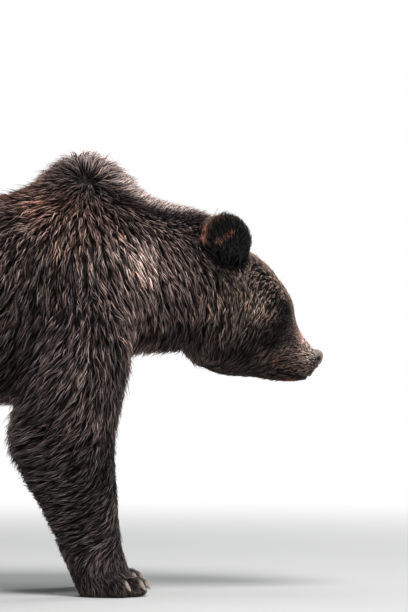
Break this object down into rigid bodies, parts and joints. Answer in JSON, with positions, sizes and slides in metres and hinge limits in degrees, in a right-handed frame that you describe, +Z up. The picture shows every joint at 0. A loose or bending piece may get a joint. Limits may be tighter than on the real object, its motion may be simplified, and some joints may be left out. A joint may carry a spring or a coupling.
{
  "type": "brown bear",
  "caption": "Brown bear standing on all fours with lowered head, shoulder hump and long claws, a still life-size museum model",
  "frame": {"origin": "on the floor, under the middle of the whole bear's outline", "axes": "+X towards the nose, +Y to the bear's left, +Z up"},
  "size_m": [1.6298, 0.5688, 1.0116],
  "materials": {
    "coat": "long dense fur, dark brown with paler grey-brown tips",
    "nose": "moist pebbled skin",
    "eye": "wet and glossy",
    "claw": "smooth dull horn"
  },
  "bodies": {
    "root": {"upper_arm_right": "coat", "forearm_right": "coat", "forepaw_right": "coat", "claw_forepaw_right_1": "claw", "claw_forepaw_right_2": "claw", "claw_forepaw_right_3": "claw", "claw_forepaw_right_4": "claw", "claw_forepaw_right_5": "claw", "upper_arm_left": "coat", "forearm_left": "coat", "forepaw_left": "coat", "claw_forepaw_left_1": "claw", "claw_forepaw_left_2": "claw", "claw_forepaw_left_3": "claw", "claw_forepaw_left_4": "claw", "claw_forepaw_left_5": "claw", "thigh_right": "coat", "shank_right": "coat", "hindpaw_right": "coat", "claw_hindpaw_right_1": "claw", "claw_hindpaw_right_2": "claw", "claw_hindpaw_right_3": "claw", "claw_hindpaw_right_4": "claw", "claw_hindpaw_right_5": "claw", "thigh_left": "coat", "shank_left": "coat", "hindpaw_left": "coat", "claw_hindpaw_left_1": "claw", "claw_hindpaw_left_2": "claw", "claw_hindpaw_left_3": "claw", "claw_hindpaw_left_4": "claw", "claw_hindpaw_left_5": "claw", "tail": "coat", "trunk": "coat", "neck": "coat", "head": "coat", "jaw": "coat", "nose": "nose", "ear_right": "coat", "eye_right": "eye", "ear_left": "coat", "eye_left": "eye"}
  },
  "joints": []
}
